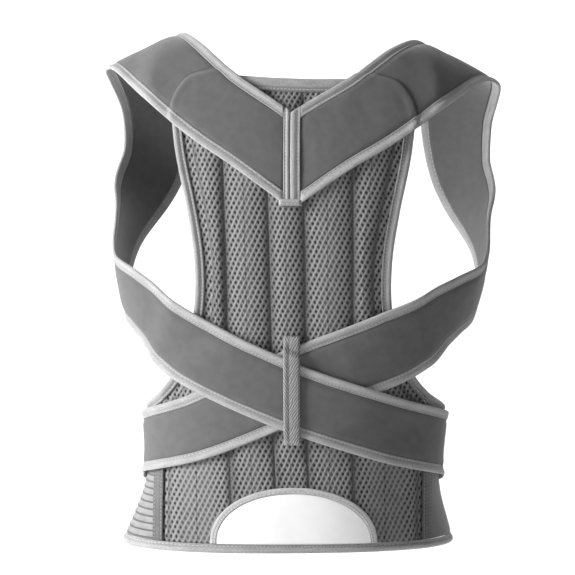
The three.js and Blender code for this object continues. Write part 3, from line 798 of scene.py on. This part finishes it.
def woven_tape(name, shade, seam_at=TAPE_STITCH, inner=0.2):
    """Binding tape, darker by a share along its flat inner part."""
    s = Shader(name, 0.78, 0.3)
    u, v = s.flat("UVMap")
    mottle = s.noise(u, v, 5, 3, 3.0)
    tone = s.mottled(mottle, shade - 12, shade + 8)
    speckle = s.noise(u, v, 1.3, 2)
    tone = s.tint(tone, s.step(0.56, 0.34, speckle), 0.5, shade - 55)
    twill = s.wave(s.math("ADD", u, s.math("MULTIPLY", v, 1.4)), 1.25)
    weft = s.wave(u, 0.8)
    tone = s.tint(tone, twill, 0.45, shade - 30)
    tone = s.tint(tone, s.step(5.2, 3.4, v), inner, shade - 70)
    stitch = s.stitches(u, v, seam_at)
    groove = s.step(1.1, 0.5, s.math("ABSOLUTE", s.math("SUBTRACT", v, seam_at)))
    tone = s.tint(tone, groove, 0.35, shade - 50)
    tone = s.blend(stitch, tone, gray(min(shade + 22, 235)))
    relief = s.math("ADD", s.math("MULTIPLY", twill, 0.35), s.math("MULTIPLY", weft, 0.2))
    relief = s.math("SUBTRACT", relief, s.math("MULTIPLY", groove, 0.5))
    relief = s.math("ADD", relief, stitch)
    return s.finish(tone, relief, 0.35)


def herringbone(name, shade):
    s = Shader(name, 0.75, 0.25)
    u, v = s.flat("UVMap")
    mottle = s.noise(u, v, 6, 2)
    aside = s.math("ABSOLUTE", s.math("SUBTRACT", v, KEEPER_VALLEY))
    lean = s.math("MULTIPLY_ADD", aside, -1.7, s.math("MULTIPLY", mottle, 5.0))
    strand = s.wave(s.math("ADD", u, lean), 3.9)
    fine = s.wave(v, 1.3)
    tone = s.mottled(mottle, shade - 8, shade + 8)
    tone = s.blend(s.step(0.42, 0.1, strand), tone, gray(shade - 48))
    tone = s.tint(tone, fine, 0.25, shade + 24)
    relief = s.math("ADD", strand, s.math("MULTIPLY", fine, 0.2))
    return s.finish(tone, relief, 0.7)


def ribbed_elastic(name, shade):
    s = Shader(name, 0.8, 0.2)
    u, v = s.flat("UVMap")
    valley = s.step(0.3, 0.0, s.wave(s.math("ADD", v, RIB_PITCH / 4), RIB_PITCH))
    threads = s.wave(u, 1.6)
    mottle = s.noise(u, v, 7, 2, 2.0)
    tone = s.mottled(mottle, shade - 8, shade + 6)
    # Painted shade in the valleys between the ribs.
    tone = s.tint(tone, valley, 0.9, shade - 80)
    tone = s.tint(tone, threads, 0.2, shade - 25)
    relief = s.math("ADD", s.math("MULTIPLY", threads, 0.35), s.math("MULTIPLY", valley, -0.6))
    return s.finish(tone, relief, 0.35)


def smooth_patch(name):
    s = Shader(name, 0.42)
    u, v = s.flat("UVMap")
    grain = s.noise(u, v, 1.2, 3)
    broad = s.noise(u, v, 18, 2)
    return s.finish(s.mottled(broad, 250, 253), s.math("ADD", grain, broad), 0.03)


CLOTH = {
    "mesh": spacer_mesh("panel spacer mesh", 136),
    "knit": knit_cloth("strap knit", 95, True),
    "knit_wing": knit_cloth("wing knit", 112),
    "tape": woven_tape("binding tape", 182),
    "tape_edge": woven_tape("panel binding tape", 174, inner=0.5),
    "tape_seam": woven_tape("seam tape", 124, SEAM_TAPE_STITCH),
    "tape_patch": woven_tape("patch binding tape", 205, PATCH_STITCH, 0.0),
    "webbing": herringbone("keeper webbing", 150),
    "elastic": ribbed_elastic("ribbed elastic", 148),
    "patch": smooth_patch("bare patch"),
}


def dress(obj, cloth):
    obj.data.materials.append(CLOTH[cloth])
    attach(obj, "root")
    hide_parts(obj.name.removesuffix("_cloth"))
    return obj


# Panel
def inner_edge(rows):
    """Where cloth ends beside the binding along an edge."""
    return offset(rows, np.full((len(rows["run"]), 1), -float(INSIDE)))[:, 0]


def panel():
    edge = inner_edge(panel_edge)
    foot = edge[-1, 2]
    steps = round((foot - PANEL_RIM) / FINE)
    z = np.concatenate([edge[:, 2], foot + (PANEL_RIM - foot) * np.arange(1, steps + 1) / steps])
    most = SEAM_REACH - SIDE_GAP / 2
    x = np.minimum(np.concatenate([edge[:, 0], np.full(steps, most)]), most)
    z = np.minimum.accumulate(z)
    rise = z / PANEL_TOP
    seams = SEAM_REACH * (STAYS[:, 1] + (STAYS[:, 0] - STAYS[:, 1]) * rise[:, None])
    reach = x[:, None]
    stops = np.concatenate([-reach, PANEL_HEM - reach, seams, reach - PANEL_HEM, reach], 1)
    columns, shares, offs = [stops[:, :1]], [np.zeros((len(x), 1))], [np.zeros((len(x), 1))]
    cells = [HEM_CELLS] + [PAD_CELLS] * (stops.shape[1] - 3) + [HEM_CELLS]
    for k, count in enumerate(cells):
        t = eased(0, 1, count)[1:]
        start, end = stops[:, k : k + 1], stops[:, k + 1 : k + 2]
        columns.append(start + (end - start) * t)
        hem = k in (0, len(cells) - 1)
        shares.append(np.broadcast_to(np.zeros(count) if hem else t, (len(x), count)))
        width = end - start
        from_seam = np.where(t < 0.5, width * t, width * (t - 1))
        offs.append(np.full((len(x), count), HEM_OFF_SEAM) if hem else from_seam)
    across, share = np.concatenate(columns, 1), np.concatenate(shares, 1)
    dip = NECK_DIP * near(edge[0, 2] - z, 0, NECK_DIP_DEPTH)
    height = z[:, None] - dip[:, None] * (1 - (across / reach) ** 2)
    places = on_back(across, height)
    below_neckline = PANEL_TOP - NECKLINE_WIDTH - height
    puff = np.sin(np.pi * share) ** PANEL_PUFF_POWER * smooth(0, PANEL_PUFF_RAMP, below_neckline)
    crease = 0.22 * ripple(0 * across, height, 5, 34) * puff + 0.18 * ripple(across, height, 8, 22) * puff
    valley = PANEL_SEAM_DEPTH - PANEL_STITCH_PULL
    top = valley + (PANEL_PUFF - valley) * puff + crease
    flat = pressed(across, height)
    top = top * (1 - flat) + np.minimum(top, PATCH_SEAT) * flat
    off = np.concatenate(offs, 1)
    obj = surface("back_panel", places, 0, top, (across, height), (off, height))
    return dress(obj, "mesh")


panel()


def neckline():
    reach = SEAM_REACH * PANEL_EDGE[0, 0] - SIDE_GAP / 2
    x = np.linspace(-reach, reach, NECKLINE_ROWS)[:, None]
    v = tape_columns(NECKLINE_WIDTH)
    dip = NECK_DIP * (1 - (x / reach) ** 2)
    places = on_back(x + 0 * v, PANEL_TOP - NECKLINE_WIDTH - dip + v)
    end = ends(x, 2 * reach / (len(x) - 1))[:, None]
    heights = binding_heights(0, v + 0 * x, NECKLINE_WIDTH, EDGE_BINDING_THICKNESS, end)
    dress(surface("neckline_binding", places, *heights, (x, v)), "tape_edge")


neckline()


def edge_tape(name, rows, sign, low, thickness, cloth):
    run = rows["run"][:, None]
    across = tape_columns(EDGE_BINDING_WIDTH) + 0 * run
    places = mirror(offset(rows, across - EDGE_BINDING_WIDTH), sign)
    end = ends(run, FINE)[:, None]
    under, top = binding_heights(low(places), across, EDGE_BINDING_WIDTH, thickness, end)
    top = top + 0.12 * ripple(run, 0, len(name), 24) * (top - under) / thickness
    return dress(surface(name, places, under, top, (run, across)), cloth)


def wrapped(p, sign):
    around = angle_of(mirror(p, sign))
    return np.where(around < -90, around + 360, around)


def wing_low(sign):
    def low(p):
        return WING_STACK * overlap_rise(wrapped(p, sign)) if sign < 0 else np.zeros(p.shape[:-1])
    return low


def seam_angle(z):
    return angle_of(on_back(np.full_like(z, SEAM_REACH + SIDE_GAP / 2), z))


def wing(name, sign, tapes):
    tops = inner_edge(wing_edge)
    end_angle = float(wrapped(tops[-1], 1))
    tops[0, 2] -= SIDE_GAP + abs(tops[0, 0] - SEAM_REACH)
    tops[0, 0] = SEAM_REACH
    start = seam_angle(tops[:, 2])
    share = np.maximum.accumulate(np.maximum(0, wrapped(tops, 1) - start) / (end_angle - start))[:, None]
    rise = np.linspace(0, 1, RIBBED_ROWS if sign < 0 else PLAIN_ROWS)[None]
    z = PANEL_RIM + (tops[:, 2:3] - PANEL_RIM) * rise
    start = seam_angle(z)
    places = mirror(on_waist(start + (end_angle - start) * share, z), sign)
    run = wing_edge["run"][:, None] - wing_edge["run"][0]
    fade = rounded(ends(run, FINE)[:, None] + 0.3, 2.5)
    for share_in in (1 - rise, rise):
        fade = fade * rounded(share_in * WING_MEAN_HEIGHT + 0.3, 2)
    if sign < 0:
        rib = 0.5 - 0.5 * np.cos(math.tau * (z / RIB_PITCH + 0.03 * ripple(run, z, 3, 40)))
        relief = RIB_DEPTH * (rib**0.7 - 1) + 0.12 * ripple(run, z, 12, 5)
    else:
        relief = 0.35 * ripple(run, z, 4, 38) - 0.2
    low = wing_low(sign)(places)
    top = low + WING_EDGE_THICKNESS + (WING_THICKNESS - WING_EDGE_THICKNESS + relief) * fade
    obj = surface(name, places, low, top, (run, z))
    dress(obj, "elastic" if sign < 0 else "knit_wing")


def seam_tape(name, sign):
    share = np.linspace(0, 1, SEAM_TAPE_ROWS)[:, None]
    height = inner_edge(wing_edge)[0, 2] - PANEL_RIM
    z = PANEL_RIM + np.maximum(0, height * share - SEAM_TAPE_WIDTH / 2) + 1e-3 * share
    v = eased(0, SEAM_TAPE_WIDTH, SEAM_TAPE_CELLS, TAPE_CROWD)[None]
    places = mirror(on_back(SEAM_REACH - SEAM_TAPE_WIDTH / 2 + v + 0 * z, z + 0 * v), sign)
    across = np.minimum(v, SEAM_TAPE_WIDTH - v)
    dent = 0.25 * bell(across, SEAM_TAPE_STITCH, 0.5)
    top = TAPE_SEAT + (SEAM_TAPE_THICKNESS - dent) * rounded(across + 0.15, 0.8)
    return dress(surface(name, places, TAPE_SEAT, top + 0 * z, (z, across)), "tape_seam")


def no_lift(places):
    return np.zeros(places.shape[:-1])


for side, sign in SIDES.items():
    edge_tape("panel_binding_" + side, panel_edge, sign, no_lift, EDGE_BINDING_THICKNESS, "tape_edge")
    lift = wing_low(sign)
    bound = edge_tape("wing_binding_" + side, wing_edge, sign, lift, WING_BINDING_THICKNESS, "tape")
    wing("belt_wing_" + side, sign, [bound, seam_tape("wing_seam_" + side, sign)])


def rim():
    reach = 180 + OVERLAP_TURN
    count = round(2 * reach * FRONT_MM_PER_DEGREE / FINE)
    around = np.linspace(-reach, reach, count + 1)[:, None]
    v = tape_columns(RIM_WIDTH)
    places = on_waist(around + 0 * v, RIM_WIDTH - v + 0 * around)
    low = np.where(around < 0, WING_STACK * overlap_rise(-around), 0) + 0 * v
    on_panel = near(np.abs(places[..., 0]) - SEAM_REACH, 0, BLEND_START) * (places[..., 1] < 0)
    thickness = WING_BINDING_THICKNESS + (RIM_THICKNESS - WING_BINDING_THICKNESS) * on_panel
    run = around * FRONT_MM_PER_DEGREE
    heights = binding_heights(low, v + 0 * around, RIM_WIDTH, thickness, ends(around, FINE)[:, None])
    dress(surface("belt_rim_binding", places, *heights, (run, v)), "tape")


rim()


# Patch
def arch(turn, grow):
    angle = np.radians(turn)
    power = 2 / PATCH_SQUARENESS
    x = (PATCH_REACH + grow) * np.sign(np.cos(angle)) * np.abs(np.cos(angle)) ** power
    return x, PANEL_RIM + (PATCH_HEIGHT + grow) * np.abs(np.sin(angle)) ** power


def patch():
    turn = np.linspace(PATCH_FOOT_TURN, 180 - PATCH_FOOT_TURN, PATCH_TURNS)[:, None]
    x, z = arch(turn, 0)
    share = np.linspace(0, 1, PATCH_ROWS)[None]
    height = PANEL_RIM + (z - PANEL_RIM) * share
    low = PATCH_SEAT + LAYER_GAP
    inside = np.minimum((1 - share) * (z - PANEL_RIM), ends(turn, ARCH_STEP)[:, None])
    bend = rounded(inside + 0.2, 2.2)
    puff = PATCH_THICKNESS - PATCH_EDGE_THICKNESS
    top = low + PATCH_EDGE_THICKNESS + puff * bend + 0.1 * ripple(x, height, 2, 40) * bend
    dress(surface("lumbar_patch", on_back(x + 0 * share, height), low, top, (x, height)), "patch")
    turn = np.linspace(0, 180, ARCH_TURNS)[:, None]
    v = eased(0, PATCH_BINDING_WIDTH, PATCH_BINDING_CELLS, TAPE_CROWD)[None]
    x, z = arch(turn, SIDE_GAP + v)
    bend = rounded(np.minimum(v, PATCH_BINDING_WIDTH - v) + 0.15, 1.2)
    dent = 0.3 * bell(v, PATCH_STITCH, 0.6)
    top = low + (PATCH_THICKNESS + SIDE_GAP + 0.3 - dent) * bend + 0 * turn
    run = turn * math.radians(1) * (PATCH_REACH + PATCH_HEIGHT) / 2
    dress(surface("lumbar_patch_binding", on_back(x, z), low, top, (run, v)), "tape_patch")


patch()


# Straps
def strap_piece(part, side, edges):
    sign = SIDES[side]
    rows = straps[side]["fine"][part]
    name = f"{part}_strap_{side}"
    run = rows["run"][:, None]
    half = rows["width"][:, None] / 2
    hem = half - STRAP_BINDING_WIDTH
    end = ends(rows["run"], FINE)[:, None]

    def low(places):
        base = over_belt(places) - sink(places)
        if name == "cross_strap_left":
            base = base + over_under_strap(places)
        return base

    reach = hem - SIDE_GAP
    across = reach * eased(-1, 1, STRAP_CELLS, TAPE_CROWD)[None]
    places = mirror(offset(rows, across), sign)
    base = low(places)
    inside = reach - np.abs(across)
    pinch = STRAP_EDGE_THICKNESS * bell(inside, 0, 2.4)
    broad = 0.32 * ripple(run, across, len(name) + len(side), 46)
    unevenness = broad + 0.12 * ripple(run, across, 7, 17)
    if part == "shoulder":
        pinch = np.maximum(pinch, V_SINK * np.exp(-run / V_SINK_REACH))
    body = STRAP_THICKNESS - STRAP_EDGE_THICKNESS - pinch + unevenness * (1 - np.exp(-inside / 6))
    top = base + STRAP_EDGE_THICKNESS + body * rounded(end + 0.3, 2.0)
    # Distance outside the panel's outline, which places the painted crease shade and ridge highlight of
    # the knit; pushed far off below the given heights so they show only higher up.
    away = outside_outline(places, outline) + PAINTED_CREASE_OFF * (1 - smooth(*PAINTED_CREASE_HEIGHTS, places[..., 2]))
    obj = dress(surface(name, places, base, top, (run, across), (away, run)), "knit")
    for edge, outwards in zip(edges, (-1, 1)):
        v = tape_columns(STRAP_BINDING_WIDTH) + 0 * run
        places = mirror(offset(rows, outwards * (hem + v)), sign)
        heights = binding_heights(low(places), v, STRAP_BINDING_WIDTH, STRAP_BINDING_THICKNESS, end)
        dress(surface(f"{name}_{edge}_binding", places, *heights, (run, v)), "tape")


for side in SIDES:
    strap_piece("shoulder", side, ("outer", "inner"))
    strap_piece("cross", side, ("upper", "lower"))


def v_binding(side):
    sign = SIDES[side]
    rows = straps[side]["coarse"]["shoulder"]
    first = {key: value[:2] for key, value in rows.items()}
    cut = offset(first, np.array([[-0.5, 0.5]]) * first["width"][:, None])
    lower, upper, after = cut[0, 0], cut[0, 1], cut[1, 1]
    slope = (after[2] - upper[2]) / (after[0] - upper[0])
    width = V_WIDTH[side]
    v = tape_columns(width)
    x = straps[side]["inner"] + v
    share = np.linspace(0, 1, V_ROWS)[:, None]
    bottom = lower[2] - V_FOOT
    z = bottom + (upper[2] + slope * (x - upper[0]) - bottom) * share
    places = on_back(sign * x + 0 * z, z)
    out = width - v + 0 * z
    end = ends(z, ARCH_STEP)[:, None]
    heights = binding_heights(over_belt(places), out, width, STRAP_BINDING_THICKNESS, end)
    dress(surface("v_binding_" + side, places, *heights, (z, out)), "tape")


for side in SIDES:
    v_binding(side)


def v_tab():
    """The folded end that closes the foot of the V."""
    first = {key: value[:1] for key, value in straps["left"]["coarse"]["shoulder"].items()}
    foot = offset(first, np.array([[-V_TAB_ROOT]]))[0, 0, 2]
    z = foot - V_FOOT - V_TAB_DROP + np.linspace(0, V_TAB_HEIGHT, 16)[:, None]
    v = np.linspace(-V_TAB_LEFT, V_TAB_RIGHT, 30)[None]
    places = on_back(v + 0 * z, z + 0 * v)
    bend = rounded(np.minimum(v + V_TAB_LEFT, V_TAB_RIGHT - v) + 0.1, 3.2)
    bend = bend * rounded(ends(z, TAB_STEP)[:, None] + 0.1, 2.4)
    low = over_belt(places) + V_TAB_SEAT
    top = low + V_TAB_EDGE_THICKNESS + (STRAP_BINDING_THICKNESS + V_TAB_RAISE) * bend
    obj = surface("v_tab", places, low, top, (v, z - z.min()))
    obj.data.materials.append(CLOTH["tape"])
    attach(obj, "root")


v_tab()


def keeper():
    spans = []
    z = np.arange(*KEEPER_SEARCH, 0.5)
    for side in SIDES:
        inside = z[outside_strap(on_back(0 * z, z), side) < 0]
        spans.append((inside.min(), inside.max()))
    low_z = min(s[0] for s in spans) - KEEPER_TAIL
    high_z = max(s[1] for s in spans) + KEEPER_TAIL
    z = np.linspace(low_z, high_z, KEEPER_ROWS)[:, None]
    v = eased(-KEEPER_WIDTH / 2, KEEPER_WIDTH / 2, KEEPER_CELLS, 0.3)[None]
    places = on_back(v + 0 * z, z + 0 * v)
    hug = {side: near(outside_strap(places, side), KEEPER_HUG, 3 * KEEPER_HUG) for side in SIDES}
    over = over_under_strap(places)
    low = over_belt(places) + np.maximum(STRAP_STACK * hug["right"], (STRAP_STACK + over) * hug["left"])
    left, right = KEEPER_WIDTH / 2 + KEEPER_VALLEY, KEEPER_WIDTH / 2 - KEEPER_VALLEY
    aside = v - KEEPER_VALLEY
    share = np.clip(np.where(aside < 0, -aside / left, aside / right), 0, 1)
    rolls = np.sin(math.pi * share) ** 0.5
    bend = rounded(KEEPER_WIDTH / 2 - np.abs(v) + 0.1, 1.6) * rounded(ends(z, 1.0)[:, None] + 0.4, 1.5)
    top = low + (KEEPER_THICKNESS - KEEPER_ROLL + KEEPER_ROLL * rolls) * bend
    dress(surface("keeper_loop", places, low, top, (z, v)), "webbing")


keeper()


# Stage
def backdrop():
    """A pale floor that sweeps up behind."""
    front, depth, radius, width, height = -6.0, 3.2, 1.2, 9.0, 6.0
    floor = -0.35
    steps = 16
    profile = [(front, 0.0), (depth, 0.0)]
    for k in range(1, steps + 1):
        turn = math.radians(90 * k / steps)
        profile.append((depth + radius * math.sin(turn), radius * (1 - math.cos(turn))))
    profile.append((depth + radius, height))
    verts = [(x, y, z + floor) for y, z in profile for x in (-width, width)]
    faces = [(2 * k, 2 * k + 1, 2 * k + 3, 2 * k + 2) for k in range(len(profile) - 1)]
    me = bpy.data.meshes.new("floor")
    me.from_pydata(verts, [], faces)
    me.shade_smooth()
    obj = bpy.data.objects.new("floor", me)
    bpy.context.scene.collection.objects.link(obj)
    paper = bpy.data.materials.new("pale floor")
    paper.use_nodes = True
    skin = paper.node_tree.nodes["Principled BSDF"]
    skin.inputs["Base Color"].default_value = gray(244)
    skin.inputs["Roughness"].default_value = 0.9
    me.materials.append(paper)


def area_light(name, place, size, power, target=(0, 0, 0.25)):
    data = bpy.data.lights.new(name, "AREA")
    data.shape = "RECTANGLE"
    data.size, data.size_y = size
    data.energy = power
    obj = bpy.data.objects.new(name, data)
    obj.location = place
    obj.rotation_euler = (Vector(target) - Vector(place)).to_track_quat("-Z", "Y").to_euler()
    bpy.context.scene.collection.objects.link(obj)


backdrop()
area_light("key", (-2.74, -0.96, 1.1), (1.1, 1.6), 155)
area_light("fill", (0.4, -3.4, 0.6), (2.0, 1.6), 10)
area_light("top", (-0.3, 0.4, 2.6), (2.0, 2.0), 8)
area_light("backdrop left", (-2.4, 2.2, 2.0), (1.6, 2.6), 80, (-0.6, 4.2, 0.8))
area_light("backdrop right", (2.4, 2.2, 2.0), (1.6, 2.6), 80, (0.6, 4.2, 0.8))

world = bpy.data.worlds.new("studio")
bpy.context.scene.world = world
world.use_nodes = True
sky = world.node_tree.nodes["Background"]
sky.inputs["Color"].default_value = (1, 1, 1, 1)
sky.inputs["Strength"].default_value = 0.12
bpy.context.scene.view_settings.view_transform = "Standard"

CAMERA_DISTANCE = 2.4
CAMERA_RISE = math.radians(1)
AIM = Vector((-0.0032, 0, 0.2443))
SENSOR_WIDTH = 36
PICTURE_WIDTH = 0.97e-3 * 575
camera_data = bpy.data.cameras.new("camera")
camera = bpy.data.objects.new("camera", camera_data)
bpy.context.scene.collection.objects.link(camera)
bpy.context.scene.camera = camera
camera_data.sensor_width = SENSOR_WIDTH
camera_data.lens = SENSOR_WIDTH * CAMERA_DISTANCE / PICTURE_WIDTH
camera_data.clip_end = 100
camera.location = AIM + CAMERA_DISTANCE * Vector((0, -math.cos(CAMERA_RISE), math.sin(CAMERA_RISE)))
camera.rotation_euler = (AIM - camera.location).to_track_quat("-Z", "Y").to_euler()

bpy.context.view_layer.update()
